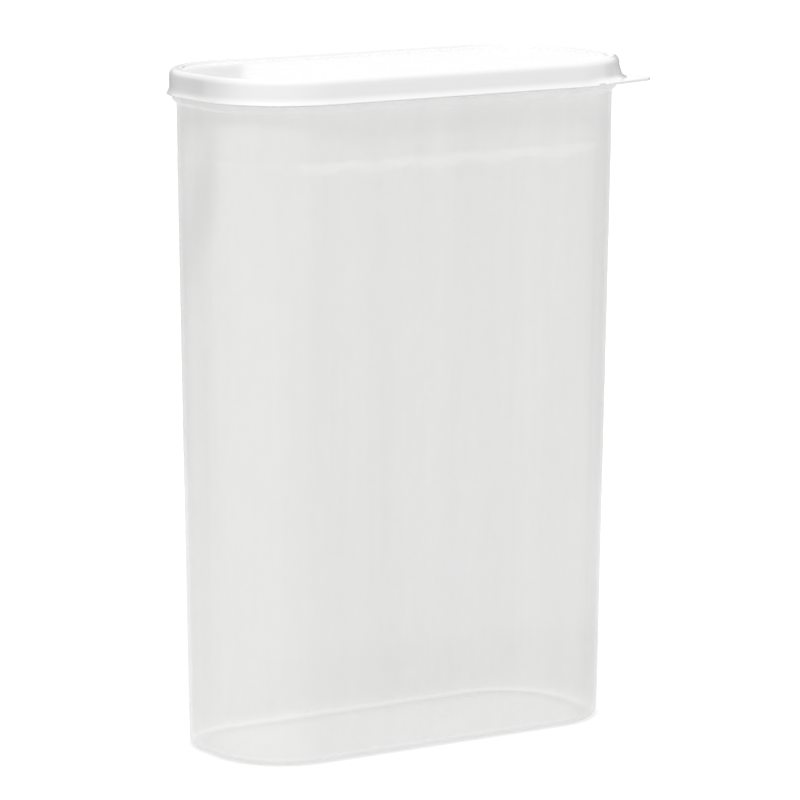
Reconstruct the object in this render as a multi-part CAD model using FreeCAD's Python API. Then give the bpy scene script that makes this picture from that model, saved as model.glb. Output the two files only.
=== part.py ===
import FreeCAD, Part
import math
import os

# Tall oblong food storage container with a press-on lid. Sizes are in millimetres.
#
# Seen from above, every outline of the container is a rounded rectangle, and all of them turn about
# the same four corner centres. So one number gives an outline: its reach, the distance outwards from
# those centres. A cross-section is drawn as (reach, height) and carried once round the container.
#
# The origin is the middle of the base, on the table. +X runs along the length and +Z up.

# Overall sizes
HEIGHT = 265.0            # table to the top of the closed lid
STRAIGHT_LENGTH = 114.0   # straight part of each long side
STRAIGHT_DEPTH = 12.4     # straight part of each end
CORNER_RADIUS = 33.5      # outside of the wall, at the mouth

# Tub wall and floor
WALL = 1.3
FLOOR = 1.6
DRAFT_DEGREES = 0.94      # lean of the wall, so that the tub leaves its mould
SHOULDER_DROP = 31.4      # top of the lid to the shoulder below it
SHOULDER_STEP = 0.3       # the wall is this much wider below the shoulder
SHOULDER_SLOPE = 1.5      # height over which the step runs out
HEEL_RADIUS = 3.0
FLOOR_RADIUS = 2.4        # inside, between floor and wall
FOOT_WIDTH = 5.0          # ring that the tub stands on
FOOT_HEIGHT = 0.8         # the floor is raised this much inside the foot
FOOT_ROUND = 0.4
SHOULDER_ROUND = 0.5

# Tub mouth: a collar, a neck above it and a bead along the rim
COLLAR_PROUD = 1.7
COLLAR_HEIGHT = 3.4
COLLAR_ROUND = 0.9
COLLAR_ROOT = 0.8         # rounding between wall and collar
NECK_ROOT = 0.3           # roundings at both ends of the neck
RIM_BEAD_PROUD = 1.3      # beyond the neck
RIM_BEAD_HEIGHT = 3.9
RIM_BEAD_SLOPE = 0.7      # underside of the bead, which the lid snaps below
RIM_BEAD_ROUND = 0.4      # lower edge of the bead
RIM_ROUND = 0.9

# Lid
LID_HEIGHT = 9.8
LID_SKIN = 1.2            # recessed panel
LID_ROOF = 1.3            # over the tub's rim
PANEL_RECESS = 1.2
BORDER_WIDTH = 4.3        # raised border round the panel
BORDER_ROUND = 1.8        # outer top edge
PANEL_ROUND = 0.6         # where the panel meets border and plug
CHANNEL_ROUND = 0.5       # in the channel over the rim
SKIRT = 1.3
PLUG = 1.1                # flange that stands inside the tub's mouth
PLUG_DROP = 7.0           # below the top of the lid
PLUG_LEAD = 0.6           # bevel that guides the plug in
PLUG_ROUND = 0.25
HEM_PROUD = 1.0           # the skirt flares out into a hem along its lower edge
HEM_FLARE = 1.1           # height of the flare
HEM_ROOT = 3.0            # hollow rounding between skirt and flare
HEM_LIP = 0.7             # upright edge below the flare
HEM_TIP_ROUND = 0.2
HEM_FOOT_ROUND = 0.5
LEAD = 0.2                # the skirt opens this much towards its lower edge
LEAD_ROUND = 0.3

# Fit of the lid on the tub
SIDE_CLEARANCE = 0.2      # rim bead to skirt, and wall to plug
TOP_CLEARANCE = 0.15      # rim to roof
COLLAR_CLEARANCE = 0.3    # collar to the lid's lower edge
SNAP_BITE = 0.4           # how far the snap bead reaches in below the rim bead
SNAP_CLEARANCE = 0.25     # below the rim bead, with the lid on
SNAP_HEIGHT = 0.7
SNAP_ROUND = 0.2

# Pull tab at the front right corner
TAB_DEGREES = -36.5       # direction from +X, about the corner centre
TAB_REACH = 11.2          # beyond the hem
TAB_THICKNESS = 1.2
TAB_TIP_RADIUS = 5.0
TAB_SIDE_DEGREES = 45.0   # between a side and the tab's own direction
TAB_ROOT_RADIUS = 8.0     # where a side runs into the hem
TAB_EDGE_ROUND = 0.4
GUSSET_PROUD = 2.2        # swelling of the skirt above the tab
GUSSET_RADIUS = 24.0
GUSSET_HEIGHT = 6.0

UP = FreeCAD.Vector(0, 0, 1)
CORNER_X = STRAIGHT_LENGTH / 2
CORNER_Y = STRAIGHT_DEPTH / 2
CORNERS = ((CORNER_X, CORNER_Y), (-CORNER_X, CORNER_Y), (-CORNER_X, -CORNER_Y), (CORNER_X, -CORNER_Y))

# Heights that the tub and the lid share
LID_EDGE = HEIGHT - LID_HEIGHT
COLLAR_TOP = LID_EDGE - COLLAR_CLEARANCE
COLLAR_FOOT = COLLAR_TOP - COLLAR_HEIGHT
RIM_TOP = HEIGHT - LID_ROOF - TOP_CLEARANCE
RIM_BEAD_FOOT = RIM_TOP - RIM_BEAD_HEIGHT
SHOULDER = HEIGHT - SHOULDER_DROP

# Reaches that the tub and the lid share
MOUTH_OUTSIDE = CORNER_RADIUS
BODY_OUTSIDE = MOUTH_OUTSIDE + SHOULDER_STEP
MOUTH_INSIDE = MOUTH_OUTSIDE - WALL
RIM_BEAD = MOUTH_OUTSIDE + RIM_BEAD_PROUD
SKIRT_INSIDE = RIM_BEAD + SIDE_CLEARANCE
SKIRT_OUTSIDE = SKIRT_INSIDE + SKIRT
HEM = SKIRT_OUTSIDE + HEM_PROUD
PLUG_OUTSIDE = MOUTH_INSIDE - SIDE_CLEARANCE


def wall_outside(height):
    """Reach of the wall's outside at a height below the collar."""
    lean = math.tan(math.radians(DRAFT_DEGREES)) * (COLLAR_FOOT - height)
    return (BODY_OUTSIDE if height < SHOULDER else MOUTH_OUTSIDE) - lean


def cross_section(corners):
    """Face in the XZ plane whose corners are (reach, height, rounding)."""
    points = [FreeCAD.Vector(reach, 0, height) for reach, height, _ in corners]
    leaving = []
    arriving = []
    arcs = []
    for index, (_, _, radius) in enumerate(corners):
        here = points[index]
        back = (points[index - 1] - here).normalize()
        ahead = (points[(index + 1) % len(points)] - here).normalize()
        half_angle = back.getAngle(ahead) / 2
        setback = radius / math.tan(half_angle)
        start = here + back * setback
        end = here + ahead * setback
        arriving.append(start)
        leaving.append(end)
        if radius:
            middle = (back + ahead).normalize()
            top = here + middle * (radius / math.sin(half_angle) - radius)
            arcs.append(Part.Arc(start, top, end).toShape())
        else:
            arcs.append(None)
    edges = []
    for index, arc in enumerate(arcs):
        if arc:
            edges.append(arc)
        edges.append(Part.LineSegment(leaving[index], arriving[(index + 1) % len(arcs)]).toShape())
    return Part.Face(Part.Wire(edges))


def carried_round(face):
    """Solid made by turning a cross-section at each corner and pushing it along each side."""
    pieces = []
    for turn, (x, y) in enumerate(CORNERS):
        next_x, next_y = CORNERS[(turn + 1) % len(CORNERS)]
        corner = face.copy()
        corner.rotate(FreeCAD.Vector(), UP, 90 * turn)
        corner.translate(FreeCAD.Vector(x, y, 0))
        pieces.append(corner.revolve(FreeCAD.Vector(x, y, 0), UP, 90))
        side = face.copy()
        side.rotate(FreeCAD.Vector(), UP, 90 * (turn + 1))
        side.translate(FreeCAD.Vector(x, y, 0))
        pieces.append(side.extrude(FreeCAD.Vector(next_x - x, next_y - y, 0)))
    return pieces


def core(low, high):
    """Block between the corner centres, which closes a floor or a panel in the middle."""
    corner = FreeCAD.Vector(-CORNER_X, -CORNER_Y, low)
    return Part.makeBox(STRAIGHT_LENGTH, STRAIGHT_DEPTH, high - low, corner)


def joined(pieces):
    """One solid from pieces that meet face to face."""
    return pieces[0].multiFuse(pieces[1:]).removeSplitter()


def tub():
    """Thin-walled tub, from its foot to the bead round its mouth."""
    foot_outside = wall_outside(0.0)
    foot_inside = foot_outside - FOOT_WIDTH
    floor_top = FOOT_HEIGHT + FLOOR
    shoulder_foot = SHOULDER - SHOULDER_SLOPE
    section = cross_section([
        (0.0, FOOT_HEIGHT, 0.0),
        (foot_inside - FOOT_HEIGHT, FOOT_HEIGHT, FOOT_ROUND),
        (foot_inside, 0.0, FOOT_ROUND),
        (foot_outside, 0.0, HEEL_RADIUS),
        (wall_outside(shoulder_foot), shoulder_foot, SHOULDER_ROUND),
        (wall_outside(SHOULDER), SHOULDER, SHOULDER_ROUND),
        (MOUTH_OUTSIDE, COLLAR_FOOT, COLLAR_ROOT),
        (MOUTH_OUTSIDE + COLLAR_PROUD, COLLAR_FOOT + COLLAR_PROUD, COLLAR_ROUND),
        (MOUTH_OUTSIDE + COLLAR_PROUD, COLLAR_TOP, COLLAR_ROUND),
        (MOUTH_OUTSIDE, COLLAR_TOP, NECK_ROOT),
        (MOUTH_OUTSIDE, RIM_BEAD_FOOT - RIM_BEAD_SLOPE, NECK_ROOT),
        (RIM_BEAD, RIM_BEAD_FOOT, RIM_BEAD_ROUND),
        (RIM_BEAD, RIM_TOP, RIM_ROUND),
        (MOUTH_INSIDE, RIM_TOP, RIM_ROUND),
        (MOUTH_INSIDE, COLLAR_FOOT, 0.0),
        (wall_outside(SHOULDER) - WALL, SHOULDER, SHOULDER_ROUND),
        (wall_outside(shoulder_foot) - WALL, shoulder_foot, SHOULDER_ROUND),
        (wall_outside(floor_top) - WALL, floor_top, FLOOR_RADIUS),
        (0.0, floor_top, 0.0),
    ])
    return joined(carried_round(section) + [core(FOOT_HEIGHT, floor_top)])


def lid():
    """Press-on lid: a recessed panel, a channel over the tub's rim, a hemmed skirt and a pull tab."""
    panel_top = HEIGHT - PANEL_RECESS
    panel_foot = panel_top - LID_SKIN
    border_inside = SKIRT_OUTSIDE - BORDER_WIDTH
    roof_foot = HEIGHT - LID_ROOF
    plug_foot = HEIGHT - PLUG_DROP
    plug_inside = PLUG_OUTSIDE - PLUG
    lip_top = LID_EDGE + HEM_LIP
    snap_top = RIM_BEAD_FOOT - SNAP_CLEARANCE
    snap_foot = snap_top - RIM_BEAD_SLOPE - SNAP_HEIGHT
    snap_inside = RIM_BEAD - SNAP_BITE
    lead_outside = SKIRT_INSIDE + LEAD
    section = cross_section([
        (0.0, panel_top, 0.0),
        (border_inside - PANEL_RECESS / 2, panel_top, PANEL_ROUND),
        (border_inside, HEIGHT, PANEL_ROUND),
        (SKIRT_OUTSIDE, HEIGHT, BORDER_ROUND),
        (SKIRT_OUTSIDE, lip_top + HEM_FLARE, HEM_ROOT),
        (HEM, lip_top, HEM_TIP_ROUND),
        (HEM, LID_EDGE, HEM_FOOT_ROUND),
        (lead_outside, LID_EDGE, LEAD_ROUND),
        (SKIRT_INSIDE, snap_foot - SNAP_HEIGHT, SNAP_ROUND),
        (snap_inside, snap_foot, SNAP_ROUND),
        (snap_inside, snap_top - RIM_BEAD_SLOPE, SNAP_ROUND),
        (SKIRT_INSIDE, snap_top, SNAP_ROUND),
        (SKIRT_INSIDE, roof_foot, CHANNEL_ROUND),
        (PLUG_OUTSIDE, roof_foot, CHANNEL_ROUND),
        (PLUG_OUTSIDE, plug_foot + PLUG_LEAD, PLUG_ROUND),
        (PLUG_OUTSIDE - PLUG_LEAD, plug_foot, PLUG_ROUND),
        (plug_inside, plug_foot, PLUG_ROUND),
        (plug_inside, panel_foot, PANEL_ROUND),
        (0.0, panel_foot, 0.0),
    ])
    return joined(carried_round(section) + [core(panel_foot, panel_top), pull_tab()])


def tab_outline():
    """Tab seen from above, with its corner centre at the origin and pointing along +X."""
    slope = math.radians(TAB_SIDE_DEGREES)
    tip_centre = FreeCAD.Vector(HEM + TAB_REACH - TAB_TIP_RADIUS, 0, 0)
    outwards = FreeCAD.Vector(math.sin(slope), math.cos(slope), 0)
    along = FreeCAD.Vector(-math.cos(slope), math.sin(slope), 0)
    side_start = tip_centre + outwards * TAB_TIP_RADIUS
    # The root arc touches the side and the hem's outline from outside.
    line_distance = side_start.dot(outwards) + TAB_ROOT_RADIUS
    root_distance = math.sqrt((HEM + TAB_ROOT_RADIUS) ** 2 - line_distance ** 2)
    root_centre = outwards * line_distance - along * root_distance
    side_end = root_centre - outwards * TAB_ROOT_RADIUS
    root_end = root_centre * (HEM / (HEM + TAB_ROOT_RADIUS))
    inwards = ((side_end - root_centre).normalize() + (root_end - root_centre).normalize()).normalize()
    root_middle = root_centre + inwards * TAB_ROOT_RADIUS

    def mirrored(point):
        return FreeCAD.Vector(point.x, -point.y, 0)

    tip = tip_centre + FreeCAD.Vector(TAB_TIP_RADIUS, 0, 0)
    return Part.Face(Part.Wire([
        Part.Arc(root_end, root_middle, side_end).toShape(),
        Part.LineSegment(side_end, side_start).toShape(),
        Part.Arc(side_start, tip, mirrored(side_start)).toShape(),
        Part.LineSegment(mirrored(side_start), mirrored(side_end)).toShape(),
        Part.Arc(mirrored(side_end), mirrored(root_middle), mirrored(root_end)).toShape(),
        Part.LineSegment(mirrored(root_end), root_end).toShape(),
    ]))


def pull_tab():
    """Flat tab level with the lid's lower edge, and the swelling that ties it to the skirt."""
    tab = tab_outline().extrude(UP * TAB_THICKNESS)
    free_edges = [edge for edge in tab.Edges if edge.CenterOfMass.x > HEM and edge.BoundBox.ZLength < 0.01]
    tab = tab.makeFillet(TAB_EDGE_ROUND, free_edges)
    gusset_centre = FreeCAD.Vector(SKIRT_OUTSIDE + GUSSET_PROUD - GUSSET_RADIUS, 0, TAB_THICKNESS / 2)
    gusset = Part.makeCone(GUSSET_RADIUS, GUSSET_RADIUS - GUSSET_PROUD, GUSSET_HEIGHT, gusset_centre, UP)
    inside = Part.makeCylinder(SKIRT_OUTSIDE - SKIRT / 2, HEIGHT)
    piece = tab.fuse(gusset).cut(inside)
    piece.rotate(FreeCAD.Vector(), UP, TAB_DEGREES)
    piece.translate(FreeCAD.Vector(CORNER_X, -CORNER_Y, LID_EDGE))
    return piece


os.makedirs("parts", exist_ok=True)
for name, shape in (("tub", tub()), ("lid", lid())):
    shape.exportStep(f"parts/{name}.step")
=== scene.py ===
import math

import bmesh
import bpy
from mathutils import Matrix, Vector


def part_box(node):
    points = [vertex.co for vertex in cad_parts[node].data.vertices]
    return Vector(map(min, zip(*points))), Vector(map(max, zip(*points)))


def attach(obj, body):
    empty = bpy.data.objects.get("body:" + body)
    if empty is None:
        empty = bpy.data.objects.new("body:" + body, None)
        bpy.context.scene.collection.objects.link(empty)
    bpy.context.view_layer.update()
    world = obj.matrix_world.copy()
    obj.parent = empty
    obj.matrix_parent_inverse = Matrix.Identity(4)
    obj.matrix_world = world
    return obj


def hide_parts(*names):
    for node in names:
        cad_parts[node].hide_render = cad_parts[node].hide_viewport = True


# Tall oblong food storage container with a press-on lid, in metres.
#
# Every outline seen from above is a rounded rectangle about the same four corner centres. An outline
# is given by its reach, the distance outwards from those centres, and a cross-section by (reach,
# height) points. A cross-section is carried round the outline, column by column.

MM = 0.001

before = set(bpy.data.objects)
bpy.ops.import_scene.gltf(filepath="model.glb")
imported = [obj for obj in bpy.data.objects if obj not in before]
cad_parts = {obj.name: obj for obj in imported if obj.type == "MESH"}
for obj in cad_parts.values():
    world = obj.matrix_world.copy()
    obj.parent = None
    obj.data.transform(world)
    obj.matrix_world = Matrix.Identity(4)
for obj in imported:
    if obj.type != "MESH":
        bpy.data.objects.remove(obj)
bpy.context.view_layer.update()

tub_low, tub_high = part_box("tub")
lid_low, lid_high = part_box("lid")

# Heights
TOP = lid_high[2]
BASE = tub_low[2]
LID_EDGE = lid_low[2]
RIM_TOP = tub_high[2]

# Tub
WALL = 1.3 * MM
FLOOR = 1.6 * MM
DRAFT = math.tan(math.radians(0.94))
SHOULDER = TOP - 31.4 * MM
HEEL_RADIUS = 3.0 * MM
FLOOR_RADIUS = 2.4 * MM
FOOT_WIDTH = 5.0 * MM
FOOT_HEIGHT = 0.8 * MM
FOOT_ROUND = 0.4 * MM

# Collar below the lid, neck, and bead round the rim
COLLAR_CLEARANCE = 0.3 * MM
COLLAR_HEIGHT = 3.4 * MM
COLLAR_PROUD = 1.7 * MM
COLLAR_ROOT = 0.8 * MM
COLLAR_FOOT_ROUND = 0.9 * MM
COLLAR_TOP_ROUND = 0.4 * MM
COLLAR_TOP = LID_EDGE - COLLAR_CLEARANCE
COLLAR_FOOT = COLLAR_TOP - COLLAR_HEIGHT
NECK_ROOT = 0.3 * MM
RIM_BEAD_HEIGHT = 3.9 * MM
RIM_BEAD_PROUD = 1.3 * MM
RIM_BEAD_SLOPE = 0.7 * MM
RIM_BEAD_ROUND = 0.4 * MM
RIM_BEAD_FOOT = RIM_TOP - RIM_BEAD_HEIGHT
RIM_ROUND = 0.9 * MM

# Lid
SIDE_CLEARANCE = 0.2 * MM
SKIRT = 1.3 * MM
LID_SKIN = 1.2 * MM
LID_ROOF = 1.3 * MM
PANEL_RECESS = 1.2 * MM
PANEL_ROUND = 0.6 * MM
BORDER_WIDTH = 4.3 * MM
BORDER_ROUND = 2.5 * MM
CHANNEL_OUTER_ROUND = 0.6 * MM
CHANNEL_INNER_ROUND = 0.5 * MM
PLUG = 1.1 * MM
PLUG_DROP = 7.0 * MM
PLUG_LEAD = 0.6 * MM
PLUG_LEAD_ROUND = 0.3 * MM
PLUG_ROUND = 0.2 * MM
HEM_PROUD = 1.0 * MM
HEM_FLARE = 1.4 * MM
HEM_ROOT = 4.0 * MM
HEM_LIP = 0.35 * MM
HEM_ROUND = 0.15 * MM
LEAD = 0.2 * MM
LEAD_ROUND = 0.3 * MM
SNAP_CLEARANCE = 0.25 * MM
SNAP_BITE = 0.4 * MM
SNAP_HEIGHT = 0.7 * MM
SNAP_ROUND = 0.2 * MM

# Reaches, from the corner centres
MOUTH_OUTSIDE = 33.5 * MM
MOUTH_INSIDE = MOUTH_OUTSIDE - WALL
RIM_BEAD = MOUTH_OUTSIDE + RIM_BEAD_PROUD
SKIRT_INSIDE = RIM_BEAD + SIDE_CLEARANCE
SKIRT_OUTSIDE = SKIRT_INSIDE + SKIRT
HEM = SKIRT_OUTSIDE + HEM_PROUD
PLUG_OUTSIDE = MOUTH_INSIDE - SIDE_CLEARANCE

# Corner centres: the tub's box ends at its collar
CORNER_X = tub_high[0] - MOUTH_OUTSIDE - COLLAR_PROUD
CORNER_Y = tub_high[1] - MOUTH_OUTSIDE - COLLAR_PROUD

# Relief of the wall: a ledge at the shoulder, strongest on the long sides, where it is scalloped
# above shallow flutes. It rises from nothing at the foot, and the floor, inside RELIEF_START, has none.
RELIEF_START = 27.6 * MM
RELIEF_RISE = 8 * MM
LEDGE_CORNER = 0.15 * MM
LEDGE_SIDE = 1.4 * MM
LEDGE_SLOPE = 3.6 * MM
SCALLOP_DROP = 2.8 * MM
FLUTE_WIDTH = 27.2 * MM
FLUTE_START = -49.0 * MM
FLUTE_DEPTH = 0.35 * MM
FLUTE_FOOT = BASE + 25 * MM

# The long sides' relief starts where the outward direction's Y is this large, and is full at 1
LONG_SIDE_START = 0.9
LONG_SIDE_BLEND = 0.1

# Pull tab, at the front right corner, with the swelling of the skirt above it. The tab is cut back
# where it would pass the lid's long side; the outward direction's Y counts there as LEAST_SIDEWAYS or
# more, because the cut divides by it.
TAB_CORNER = 3
TAB_TURN = math.radians(-36.5)
TAB_REACH = 11.15 * MM
TAB_THICKNESS = 1.2 * MM
TAB_TIP_RADIUS = 5.0 * MM
TAB_SIDE = math.radians(53)
TAB_BLEND = 1.2 * MM
TAB_FADE = math.radians(12)
TAB_ROOT = 2.4 * MM
TAB_ROUND = 0.45 * MM
TAB_RUN_OUT = 3 * MM
LEAST_SIDEWAYS = 0.1
GUSSET_PROUD = 1.5 * MM
GUSSET_RADIUS = 24.0 * MM
GUSSET_HEIGHT = 6.1 * MM
GUSSET_SPREAD = math.radians(60)

# Fineness of the meshes
CORNER_COLUMNS = 28
TAB_COLUMNS = 120
LONG_COLUMNS = 40
END_COLUMNS = 6
ROUND_STEPS = 6
LONGEST_STEP = 4.0 * MM
LEDGE_STEP = 0.35 * MM
LEDGE_MARGIN = 1 * MM
WELD_DISTANCE = 1e-7
SAME_HEIGHT = 1e-6
FLAT_FACE_WEIGHT = 90

# Plastics. INSIDE is the mesh attribute that tells the tub's inner skin from its outer one. A noise
# pattern is (scale, stretch, detail).
INSIDE = "inside"
PLASTIC_IOR = 1.5
TUB_COLOUR = (0.885, 0.885, 0.878)
# Painted light: the tub's colour at the rim and the foot, lighter to offset the shade under the lid and
# near the floor
TUB_COLOUR_PAINTED_LIGHT = (1.0, 1.0, 0.993)
TUB_SPECULAR = 0.35
TUB_CLOUD = (0.39, 0.46)
TUB_CLOUD_INSIDE = 0.3
TUB_ROUGHNESS = (0.27, 0.37)
TUB_GRAIN_DEPTH = 0.03 * MM
# Heights over which that painted light fades out along the wall, from the foot and from the rim
FOOT_FADE = BASE + 95 * MM
RIM_FADE = COLLAR_FOOT - 9 * MM
LID_COLOUR = (0.94, 0.94, 0.94)
LID_ROUGHNESS = (0.11, 0.17)
LID_GRAIN_DEPTH = 0.02 * MM
TUB_FLOW_NOISE = (60, (1, 1, 0.06), 2)
TUB_GLOSS_NOISE = (35, (1, 1, 0.3), 2)
TUB_GRAIN_NOISE = (900, (1, 1, 0.5), 3)
LID_GLOSS_NOISE = (45, (1, 1, 1), 2)
LID_GRAIN_NOISE = (700, (1, 1, 1), 3)
NOISE_MIDDLE = (0.25, 0.75)

# Light
ROOM_LIGHT = 0.6
KEY_AZIMUTH = math.radians(-51)
KEY_ELEVATION = math.radians(64.5)
KEY_DISTANCE = 5.0
KEY_SIZE = 0.8
KEY_POWER = 122

# Floor: its tone as it lights the container and as it is seen, and how much it glows where it is
# seen. The glow is the sum of steps by reach, each (near, far, glow at near, glow at far): a painted
# shadow under the tub, darkest round its foot, with a painted pool of light under its middle, and
# white away from it.
STAGE_ROUGHNESS = 0.9
FLOOR_HALF = 6.0
FLOOR_TONE = 0.8
FLOOR_TONE_SEEN = 0.2
FLOOR_GLOW_AND_PAINTED_SHADOW = (
    (17 * MM, 25 * MM, 0.08, 0.0),
    (26.5 * MM, 33.0 * MM, 0.68, 0.9),
    (100 * MM, 500 * MM, 0.0, 0.1),
)

# Grey studio cards: those that show as reflections, each (name, start, end, tone), and the one that
# shades the container's left end
FLAGS = (
    ("flag_left", (-0.47, 0.414), (0.094, 0.62), 0.35),
    ("flag_back", (0.094, 0.62), (0.213, 0.459), 0.72),
    ("flag_right", (0.446, 0.44), (0.611, -0.137), 0.35),
)
FLAG_HEIGHT = 0.4
SHADE_EDGE = (-94 * MM, -15.5 * MM)
SHADE_GAP = 14 * MM
SHADE_WIDTH = 120 * MM
SHADE_FOOT = TOP - 11 * MM
SHADE_TOP = TOP + 20 * MM
SHADE_TONE = 0.3

# Camera
CAMERA_AZIMUTH = math.radians(-33.5)
CAMERA_ELEVATION = math.radians(9.7)
CAMERA_DISTANCE = 1.9663
CAMERA_LENS = 225.7
CAMERA_SENSOR = 36
CAMERA_ROLL = math.radians(0.15)
AIM_RIGHT = 1.45 * MM
AIM_UP = -0.92 * MM


def smooth(value):
    """Smooth step from 0 to 1."""
    value = min(max(value, 0.0), 1.0)
    return value * value * (3 - 2 * value)


def between(start, end, share):
    """The value a share of the way from start to end."""
    return start + (end - start) * share


def lower_of(first, second, blend):
    """The lower of two values, rounded over a blend where they cross."""
    return (first + second - math.hypot(first - second, blend)) / 2


def outwards(azimuth, elevation):
    """Unit vector at an azimuth turned from -Y towards +X, and an elevation above the floor."""
    level = math.cos(elevation)
    return Vector((math.sin(azimuth) * level, -math.cos(azimuth) * level, math.sin(elevation)))


# Meshes


def outline_columns():
    """Columns round the container: (corner centre, outward direction, number of the corner or None)."""
    corners = ((1, 1), (-1, 1), (-1, -1), (1, -1))
    quarter = math.radians(90)
    columns = []
    for number, (sx, sy) in enumerate(corners):
        count = TAB_COLUMNS if number == TAB_CORNER else CORNER_COLUMNS
        centre = Vector((sx * CORNER_X, sy * CORNER_Y))
        for step in range(count + 1):
            angle = quarter * (number + step / count)
            columns.append((centre, Vector((math.cos(angle), math.sin(angle))), number))
        nx, ny = corners[(number + 1) % 4]
        following = Vector((nx * CORNER_X, ny * CORNER_Y))
        angle = quarter * (number + 1)
        outward = Vector((math.cos(angle), math.sin(angle)))
        along = LONG_COLUMNS if number % 2 == 0 else END_COLUMNS
        for step in range(1, along):
            columns.append((centre.lerp(following, step / along), outward, None))
    return columns


def rounded(corners):
    """Points along an open cross-section whose corners are (reach, height, rounding)."""
    points = [Vector(corner[:2]) for corner in corners]
    line = [points[0]]
    for index in range(1, len(points) - 1):
        radius = corners[index][2]
        if not radius:
            line.append(points[index])
            continue
        back = (points[index - 1] - points[index]).normalized()
        ahead = (points[index + 1] - points[index]).normalized()
        half_angle = back.angle(ahead) / 2
        setback = radius / math.tan(half_angle)
        centre = points[index] + (back + ahead).normalized() * (radius / math.sin(half_angle))
        start = points[index] + back * setback - centre
        turn = math.pi - 2 * half_angle
        side = 1 if back.x * ahead.y - back.y * ahead.x < 0 else -1
        for step in range(ROUND_STEPS + 1):
            line.append(centre + Matrix.Rotation(side * turn * step / ROUND_STEPS, 2) @ start)
    line.append(points[-1])
    return line


def refined(line):
    """The same line with its long runs divided, finely across the shoulder."""
    low = SHOULDER - LEDGE_SLOPE - SCALLOP_DROP - LEDGE_MARGIN
    high = SHOULDER + LEDGE_MARGIN
    points = [line[0]]
    for end in line[1:]:
        start = points[-1]
        length = (end - start).length
        marks = [(1.0, LONGEST_STEP)]
        if length > LONGEST_STEP and min(start.y, end.y) < low and max(start.y, end.y) > high:
            rise = end.y - start.y
            first, second = sorted(((low - start.y) / rise, (high - start.y) / rise))
            marks = [(first, LONGEST_STEP), (second, LEDGE_STEP), (1.0, LONGEST_STEP)]
        done = 0.0
        for mark, longest in marks:
            steps = max(1, math.ceil((mark - done) * length / longest))
            for step in range(1, steps + 1):
                points.append(start.lerp(end, done + (mark - done) * step / steps))
            done = mark
    return points


def carried_round(name, section, columns, inside_marks):
    """Closed mesh from a cross-section that starts and ends on the line between the corner centres.

    The float attribute INSIDE holds the mark of each point of the cross-section.
    """
    mesh = bmesh.new()
    inside = mesh.verts.layers.float.new(INSIDE)
    rings = []
    for column in columns:
        centre, outward, _ = column
        ring = []
        for (reach, height), mark in zip(section(column), inside_marks):
            flat = centre + outward * reach
            vert = mesh.verts.new((flat.x, flat.y, height))
            vert[inside] = mark
            ring.append(vert)
        rings.append(ring)
    for index, ring in enumerate(rings):
        following = rings[(index + 1) % len(rings)]
        for low in range(len(ring) - 1):
            mesh.faces.new((ring[low], following[low], following[low + 1], ring[low + 1]))
    bmesh.ops.remove_doubles(mesh, verts=mesh.verts, dist=WELD_DISTANCE)
    bmesh.ops.dissolve_degenerate(mesh, edges=mesh.edges, dist=WELD_DISTANCE)
    first_section = section(columns[0])
    for _, level in (first_section[0], first_section[-1]):
        edges = [
            edge for edge in mesh.edges
            if edge.is_boundary and all(abs(vert.co.z - level) < SAME_HEIGHT for vert in edge.verts)
        ]
        bmesh.ops.contextual_create(mesh, geom=edges)
    bmesh.ops.recalc_face_normals(mesh, faces=mesh.faces)
    data = bpy.data.meshes.new(name)
    mesh.to_mesh(data)
    mesh.free()
    for polygon in data.polygons:
        polygon.use_smooth = True
    piece = bpy.data.objects.new(name, data)
    bpy.context.scene.collection.objects.link(piece)
    shading = piece.modifiers.new("flat_faces_first", "WEIGHTED_NORMAL")
    shading.weight = FLAT_FACE_WEIGHT
    return piece


# Tub


def wall_outside(height):
    """Reach of the wall's outside below the collar, without its relief."""
    return MOUTH_OUTSIDE - DRAFT * (COLLAR_FOOT - height)


def wall_relief(column, height):
    """How far the wall swells outwards at one place below the collar."""
    centre, outward, _ = column
    share = smooth((abs(outward.y) - LONG_SIDE_START) / LONG_SIDE_BLEND)
    across = centre.x * (-1 if outward.y > 0 else 1)
    arch = abs(math.sin(math.pi * (across - FLUTE_START) / FLUTE_WIDTH))
    slope = LEDGE_SLOPE + share * arch * SCALLOP_DROP
    ledge = between(LEDGE_CORNER, LEDGE_SIDE, share)
    below = smooth((SHOULDER - height) / slope)
    above_foot = smooth((height - BASE) / (FLUTE_FOOT - BASE))
    valley = share * FLUTE_DEPTH * (1 - arch)
    return (ledge * max(above_foot, LEDGE_CORNER / ledge) - valley * above_foot) * below


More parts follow.
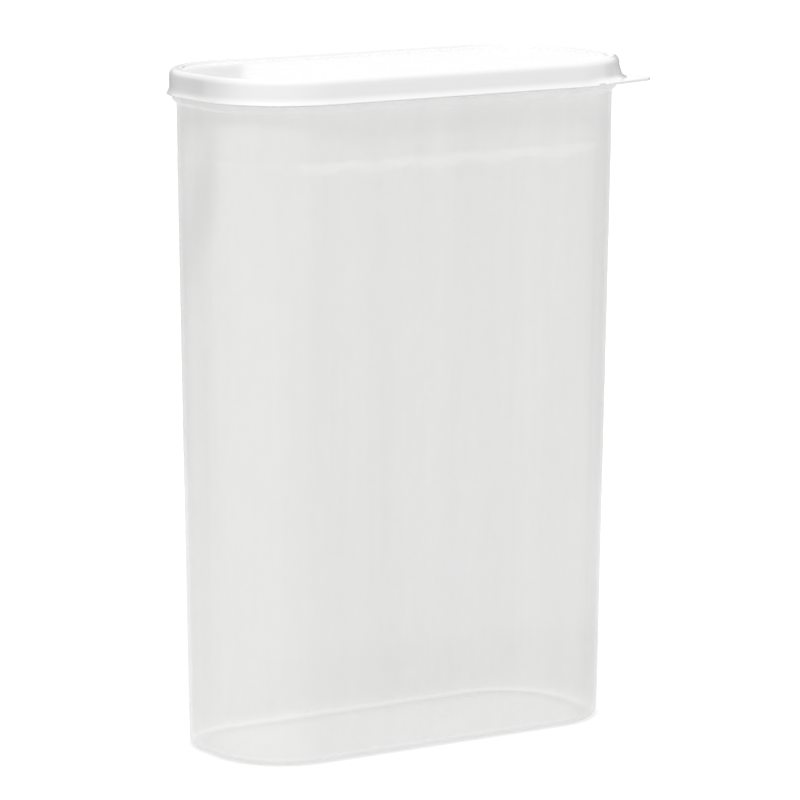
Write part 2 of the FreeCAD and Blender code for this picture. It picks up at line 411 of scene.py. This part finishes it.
def plain_tub_section():
    """Cross-section of the tub from the middle of its underside, up the outside and down the inside."""
    foot_outside = wall_outside(BASE)
    foot_inside = foot_outside - FOOT_WIDTH
    floor_foot = BASE + FOOT_HEIGHT
    floor_top = floor_foot + FLOOR
    collar_outside = MOUTH_OUTSIDE + COLLAR_PROUD
    return refined(rounded([
        (0.0, floor_foot, 0.0),
        (foot_inside - FOOT_HEIGHT, floor_foot, FOOT_ROUND),
        (foot_inside, BASE, FOOT_ROUND),
        (foot_outside, BASE, HEEL_RADIUS),
        (MOUTH_OUTSIDE, COLLAR_FOOT, COLLAR_ROOT),
        (collar_outside, COLLAR_FOOT + COLLAR_PROUD, COLLAR_FOOT_ROUND),
        (collar_outside, COLLAR_TOP, COLLAR_TOP_ROUND),
        (MOUTH_OUTSIDE, COLLAR_TOP, NECK_ROOT),
        (MOUTH_OUTSIDE, RIM_BEAD_FOOT - RIM_BEAD_SLOPE, NECK_ROOT),
        (RIM_BEAD, RIM_BEAD_FOOT, RIM_BEAD_ROUND),
        (RIM_BEAD, RIM_TOP, RIM_ROUND),
        (MOUTH_INSIDE, RIM_TOP, RIM_ROUND),
        (MOUTH_INSIDE, COLLAR_FOOT, 0.0),
        (wall_outside(floor_top) - WALL, floor_top, FLOOR_RADIUS),
        (0.0, floor_top, 0.0),
    ]))


PLAIN_TUB = plain_tub_section()


def tub_section(column):
    """The tub's plain cross-section with the wall's relief at one column."""
    section = []
    for reach, height in PLAIN_TUB:
        if reach > RELIEF_START and height < COLLAR_FOOT:
            reach += wall_relief(column, height) * smooth((height - BASE) / RELIEF_RISE)
        section.append((reach, height))
    return section


def inside_tub(reach, height):
    """1 on the tub's inner skin, and on both sides of the floor, which rests on the table; 0 elsewhere."""
    return 1.0 if reach < wall_outside(min(height, COLLAR_FOOT)) - WALL / 2 else 0.0


# Lid


def tab_outline(angle):
    """Reach of the tab at an angle from its direction, fading to the hem along the container's end."""
    tip_centre = HEM + TAB_REACH - TAB_TIP_RADIUS
    side_distance = tip_centre * math.sin(TAB_SIDE) + TAB_TIP_RADIUS
    away = abs(angle)
    tip_end = math.atan2(
        TAB_TIP_RADIUS * math.cos(TAB_SIDE),
        tip_centre + TAB_TIP_RADIUS * math.sin(TAB_SIDE),
    )
    if away < tip_end:
        beyond = math.sqrt(TAB_TIP_RADIUS ** 2 - (tip_centre * math.sin(away)) ** 2)
        reach = tip_centre * math.cos(away) + beyond
    else:
        reach = side_distance / math.cos(math.pi / 2 - TAB_SIDE - away)
    return between(HEM, reach, smooth((-TAB_TURN - angle) / TAB_FADE))


def gusset_outline(angle):
    """How far the skirt swells out above the tab."""
    centre = SKIRT_OUTSIDE + GUSSET_PROUD - GUSSET_RADIUS
    inside = GUSSET_RADIUS ** 2 - (centre * math.sin(angle)) ** 2
    if abs(angle) > GUSSET_SPREAD or inside <= 0:
        return 0.0
    return max(0.0, centre * math.cos(angle) + math.sqrt(inside) - SKIRT_OUTSIDE)


def lid_section(column):
    """Cross-section of the lid at one column; near the pull tab its lower edge runs out into the tab."""
    _, outward, corner = column
    edge = HEM
    swell = 0.0
    if corner == TAB_CORNER:
        angle = math.atan2(outward.y, outward.x) - TAB_TURN
        side_limit = (lid_high[1] - CORNER_Y) / max(abs(outward.y), LEAST_SIDEWAYS)
        edge = max(HEM, lower_of(tab_outline(angle), side_limit, TAB_BLEND))
        swell = gusset_outline(angle)
    run_out = smooth((edge - HEM) / TAB_RUN_OUT)
    lip_top = LID_EDGE + between(HEM_LIP, TAB_THICKNESS, run_out)
    root = LID_EDGE + between(HEM_LIP + HEM_FLARE, TAB_THICKNESS, run_out)
    root_round = between(HEM_ROOT, TAB_ROOT, run_out)
    edge_round = between(HEM_ROUND, TAB_ROUND, run_out)
    panel_top = TOP - PANEL_RECESS
    panel_foot = panel_top - LID_SKIN
    border_inside = SKIRT_OUTSIDE - BORDER_WIDTH
    roof_foot = TOP - LID_ROOF
    plug_foot = TOP - PLUG_DROP
    plug_inside = PLUG_OUTSIDE - PLUG
    snap_inside = RIM_BEAD - SNAP_BITE
    snap_top = RIM_BEAD_FOOT - SNAP_CLEARANCE
    snap_foot = snap_top - RIM_BEAD_SLOPE - SNAP_HEIGHT
    return rounded([
        (0.0, panel_top, 0.0),
        (border_inside - PANEL_RECESS / 2, panel_top, PANEL_ROUND),
        (border_inside, TOP, PANEL_ROUND),
        (SKIRT_OUTSIDE, TOP, BORDER_ROUND),
        (SKIRT_OUTSIDE, LID_EDGE + GUSSET_HEIGHT, 0.0),
        (SKIRT_OUTSIDE + swell, root, root_round),
        (edge, lip_top, edge_round),
        (edge, LID_EDGE, edge_round),
        (SKIRT_INSIDE + LEAD, LID_EDGE, LEAD_ROUND),
        (SKIRT_INSIDE, snap_foot - SNAP_HEIGHT, SNAP_ROUND),
        (snap_inside, snap_foot, SNAP_ROUND),
        (snap_inside, snap_top - RIM_BEAD_SLOPE, SNAP_ROUND),
        (SKIRT_INSIDE, snap_top, SNAP_ROUND),
        (SKIRT_INSIDE, roof_foot, CHANNEL_OUTER_ROUND),
        (PLUG_OUTSIDE, roof_foot, CHANNEL_INNER_ROUND),
        (PLUG_OUTSIDE, plug_foot + PLUG_LEAD, PLUG_LEAD_ROUND),
        (PLUG_OUTSIDE - PLUG_LEAD, plug_foot, PLUG_LEAD_ROUND),
        (plug_inside, plug_foot, PLUG_ROUND),
        (plug_inside, panel_foot, PANEL_ROUND),
        (0.0, panel_foot, 0.0),
    ])


# Materials


def new_material(name, colour, roughness):
    """Material with its Principled shader, node tree and links."""
    material = bpy.data.materials.new(name)
    material.use_nodes = True
    shader = material.node_tree.nodes["Principled BSDF"]
    shader.inputs["Base Color"].default_value = (*colour, 1)
    shader.inputs["Roughness"].default_value = roughness
    shader.inputs["IOR"].default_value = PLASTIC_IOR
    return material, shader, material.node_tree.nodes, material.node_tree.links


def joined(nodes, links, operation, first, second):
    """Two values put together by a maths operation."""
    node = nodes.new("ShaderNodeMath")
    node.operation = operation
    links.new(first, node.inputs[0])
    links.new(second, node.inputs[1])
    return node.outputs[0]


def ranged(nodes, links, value, near, far, low, high, interpolation="LINEAR"):
    """A value's way from near to far as one from low to high, which it doesn't pass."""
    spread = nodes.new("ShaderNodeMapRange")
    spread.interpolation_type = interpolation
    spread.inputs["From Min"].default_value = near
    spread.inputs["From Max"].default_value = far
    spread.inputs["To Min"].default_value = low
    spread.inputs["To Max"].default_value = high
    links.new(value, spread.inputs["Value"])
    return spread.outputs["Result"]


def noise(nodes, links, pattern):
    """Noise on the piece's own coordinates."""
    scale, stretch, detail = pattern
    places = nodes.new("ShaderNodeTexCoord")
    mapping = nodes.new("ShaderNodeMapping")
    mapping.inputs["Scale"].default_value = stretch
    texture = nodes.new("ShaderNodeTexNoise")
    texture.inputs["Scale"].default_value = scale
    texture.inputs["Detail"].default_value = detail
    links.new(places.outputs["Object"], mapping.inputs["Vector"])
    links.new(mapping.outputs["Vector"], texture.inputs["Vector"])
    return texture.outputs["Fac"]


def uneven(nodes, links, pattern, span):
    """Noise whose middle half is spread from one end of a span to the other."""
    return ranged(nodes, links, noise(nodes, links, pattern), *NOISE_MIDDLE, *span)


def grain(nodes, links, shader, pattern, depth):
    """Fine relief on the shader."""
    bump = nodes.new("ShaderNodeBump")
    bump.inputs["Strength"].default_value = 1.0
    bump.inputs["Distance"].default_value = depth
    links.new(noise(nodes, links, pattern), bump.inputs["Height"])
    links.new(bump.outputs["Normal"], shader.inputs["Normal"])


# Painted light: how far the tub's colour is lifted, against the shade under the lid and near the floor
def painted_light_share(nodes, links):
    """1 at the tub's rim and at its foot, fading to 0 along the wall."""
    split = nodes.new("ShaderNodeSeparateXYZ")
    links.new(nodes.new("ShaderNodeTexCoord").outputs["Object"], split.inputs["Vector"])
    height = split.outputs["Z"]
    foot = ranged(nodes, links, height, FOOT_FADE, BASE, 0, 1)
    rim = ranged(nodes, links, height, RIM_FADE, COLLAR_FOOT, 0, 1)
    return joined(nodes, links, "ADD", foot, rim)


def tub_plastic():
    """Frosted natural polypropylene: cloudy and see-through, with flow lines drawn up the wall.

    Its colour is lighter towards the rim and the foot: painted light that offsets the shade under the
    lid and near the floor. The inner skin is clearer than the outer one, so that the two make one
    cloudy wall.
    """
    roughness = sum(TUB_ROUGHNESS) / 2
    material, shader, nodes, links = new_material("frosted_polypropylene", TUB_COLOUR, roughness)
    shader.inputs["Specular IOR Level"].default_value = TUB_SPECULAR
    # Painted light: the base colour is lifted towards the rim and the foot
    painted_light_mix = nodes.new("ShaderNodeMix")
    painted_light_mix.data_type = "RGBA"
    painted_light_mix.inputs["A"].default_value = (*TUB_COLOUR, 1)
    painted_light_mix.inputs["B"].default_value = (*TUB_COLOUR_PAINTED_LIGHT, 1)
    links.new(painted_light_share(nodes, links), painted_light_mix.inputs["Factor"])
    links.new(painted_light_mix.outputs["Result"], shader.inputs["Base Color"])
    inner = nodes.new("ShaderNodeAttribute")
    inner.attribute_name = INSIDE
    clearer = ranged(nodes, links, inner.outputs["Fac"], 0, 1, 1.0, TUB_CLOUD_INSIDE)
    flow = uneven(nodes, links, TUB_FLOW_NOISE, TUB_CLOUD)
    links.new(joined(nodes, links, "MULTIPLY", flow, clearer), shader.inputs["Alpha"])
    links.new(uneven(nodes, links, TUB_GLOSS_NOISE, TUB_ROUGHNESS), shader.inputs["Roughness"])
    grain(nodes, links, shader, TUB_GRAIN_NOISE, TUB_GRAIN_DEPTH)
    return material


def lid_plastic():
    """Smooth white polyethylene with a soft gloss."""
    roughness = sum(LID_ROUGHNESS) / 2
    material, shader, nodes, links = new_material("white_polyethylene", LID_COLOUR, roughness)
    links.new(uneven(nodes, links, LID_GLOSS_NOISE, LID_ROUGHNESS), shader.inputs["Roughness"])
    grain(nodes, links, shader, LID_GRAIN_NOISE, LID_GRAIN_DEPTH)
    return material


# Stage


def grey(tone):
    """The grey colour of a tone."""
    return (tone, tone, tone)


def flat_card(name, corners, material, unseen_by=()):
    """Flat piece of the stage, hidden from the kinds of ray in unseen_by."""
    mesh = bmesh.new()
    mesh.faces.new([mesh.verts.new(corner) for corner in corners])
    data = bpy.data.meshes.new(name)
    mesh.to_mesh(data)
    mesh.free()
    data.materials.append(material)
    card = bpy.data.objects.new(name, data)
    bpy.context.scene.collection.objects.link(card)
    for ray in unseen_by:
        setattr(card, "visible_" + ray, False)


def seen_directly(nodes, links):
    """1 for camera, glossy and transmission rays, and 0 for the rest."""
    path = nodes.new("ShaderNodeLightPath")
    seen = path.outputs["Is Camera Ray"]
    for name in ("Is Glossy Ray", "Is Transmission Ray"):
        seen = joined(nodes, links, "MAXIMUM", seen, path.outputs[name])
    return seen


def outline_reach(nodes, links):
    """Reach of a place on the floor, outwards from the corner centres."""
    value = nodes.new("ShaderNodeTexCoord").outputs["Object"]
    steps = (
        ("ABSOLUTE", None),
        ("SUBTRACT", (CORNER_X, CORNER_Y, 0)),
        ("MAXIMUM", (0, 0, 0)),
        ("LENGTH", None),
    )
    for operation, other in steps:
        node = nodes.new("ShaderNodeVectorMath")
        node.operation = operation
        links.new(value, node.inputs[0])
        if other:
            node.inputs[1].default_value = other
        value = node.outputs["Value" if operation == "LENGTH" else "Vector"]
    return value


def floor_plane():
    """Pale floor that shows white to the camera and keeps the container's shadow."""
    material, shader, nodes, links = new_material("pale_floor", grey(FLOOR_TONE), STAGE_ROUGHNESS)
    shader.inputs["Specular IOR Level"].default_value = 0.0
    shader.inputs["Emission Color"].default_value = (1, 1, 1, 1)
    seen = seen_directly(nodes, links)
    tone = ranged(nodes, links, seen, 0, 1, FLOOR_TONE, FLOOR_TONE_SEEN)
    links.new(tone, shader.inputs["Base Color"])
    # Painted shadow and light: the glow is lowered under the tub, most round its foot, and raised a little
    # under its middle
    reach = outline_reach(nodes, links)
    glow = None
    for step in FLOOR_GLOW_AND_PAINTED_SHADOW:
        more = ranged(nodes, links, reach, *step, interpolation="SMOOTHSTEP")
        glow = joined(nodes, links, "ADD", glow, more) if glow else more
    links.new(joined(nodes, links, "MULTIPLY", glow, seen), shader.inputs["Emission Strength"])
    sides = ((-1, -1), (1, -1), (1, 1), (-1, 1))
    corners = [(x * FLOOR_HALF, y * FLOOR_HALF, BASE) for x, y in sides]
    flat_card("floor", corners, material)


def white_room():
    """World: white where it is seen, and a plain pale light elsewhere."""
    world = bpy.data.worlds.new("white_room")
    world.use_nodes = True
    bpy.context.scene.world = world
    nodes, links = world.node_tree.nodes, world.node_tree.links
    background = nodes["Background"]
    background.inputs["Color"].default_value = (1, 1, 1, 1)
    strength = ranged(nodes, links, seen_directly(nodes, links), 0, 1, ROOM_LIGHT, 1)
    links.new(strength, background.inputs["Strength"])


def flag(name, start, end, tone):
    """Grey studio card that only shows as a reflection in the container's gloss."""
    start = Vector((*start, BASE))
    end = Vector((*end, BASE))
    rise = Vector((0, 0, FLAG_HEIGHT))
    corners = (start, end, end + rise, start + rise)
    material = new_material(name, grey(tone), STAGE_ROUGHNESS)[0]
    flat_card(name, corners, material, ("camera", "diffuse", "shadow", "transmission"))


def shade():
    """Small grey card between the key light and the container's left end, which takes light from it."""
    edge = Vector((*SHADE_EDGE, 0)) + outwards(KEY_AZIMUTH, 0) * SHADE_GAP
    across = outwards(KEY_AZIMUTH - math.radians(90), 0) * SHADE_WIDTH
    low = Vector((0, 0, SHADE_FOOT))
    high = Vector((0, 0, SHADE_TOP))
    corners = (edge + low, edge + across + low, edge + across + high, edge + high)
    material = new_material("shade_card", grey(SHADE_TONE), STAGE_ROUGHNESS)[0]
    flat_card("shade", corners, material, ("camera", "glossy", "transmission"))


def key_light():
    """Square area light high on the left, facing the lid."""
    target = Vector((0, 0, TOP))
    place = target + KEY_DISTANCE * outwards(KEY_AZIMUTH, KEY_ELEVATION)
    lamp = bpy.data.lights.new("key", "AREA")
    lamp.shape = "SQUARE"
    lamp.size = KEY_SIZE
    lamp.energy = KEY_POWER
    piece = bpy.data.objects.new("key", lamp)
    piece.location = place
    piece.rotation_euler = (target - place).to_track_quat("-Z", "Y").to_euler()
    bpy.context.scene.collection.objects.link(piece)


def camera():
    """Long lens, a little above the lid and off the left front corner."""
    back = outwards(CAMERA_AZIMUTH, CAMERA_ELEVATION)
    right = Vector((math.cos(CAMERA_AZIMUTH), math.sin(CAMERA_AZIMUTH), 0))
    up = back.cross(right)
    aim = Vector((0, 0, (BASE + TOP) / 2)) + right * AIM_RIGHT + up * AIM_UP
    place = aim + back * CAMERA_DISTANCE
    turn = Matrix((right, up, back)).transposed() @ Matrix.Rotation(CAMERA_ROLL, 3, "Z")
    data = bpy.data.cameras.new("camera")
    data.lens = CAMERA_LENS
    data.sensor_width = CAMERA_SENSOR
    piece = bpy.data.objects.new("camera", data)
    piece.matrix_world = Matrix.Translation(place) @ turn.to_4x4()
    bpy.context.scene.collection.objects.link(piece)
    bpy.context.scene.camera = piece


columns = outline_columns()

tub_marks = [inside_tub(reach, height) for reach, height in PLAIN_TUB]
tub = carried_round("tub_shell", tub_section, columns, tub_marks)
tub.data.materials.append(tub_plastic())
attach(tub, "root")
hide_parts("tub")

lid_marks = [0.0] * len(lid_section(columns[0]))
lid = carried_round("lid_cap", lid_section, columns, lid_marks)
lid.data.materials.append(lid_plastic())
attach(lid, "root")
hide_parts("lid")

floor_plane()
white_room()
key_light()
for name, start, end, tone in FLAGS:
    flag(name, start, end, tone)
shade()
camera()
bpy.context.scene.view_settings.view_transform = "Standard"
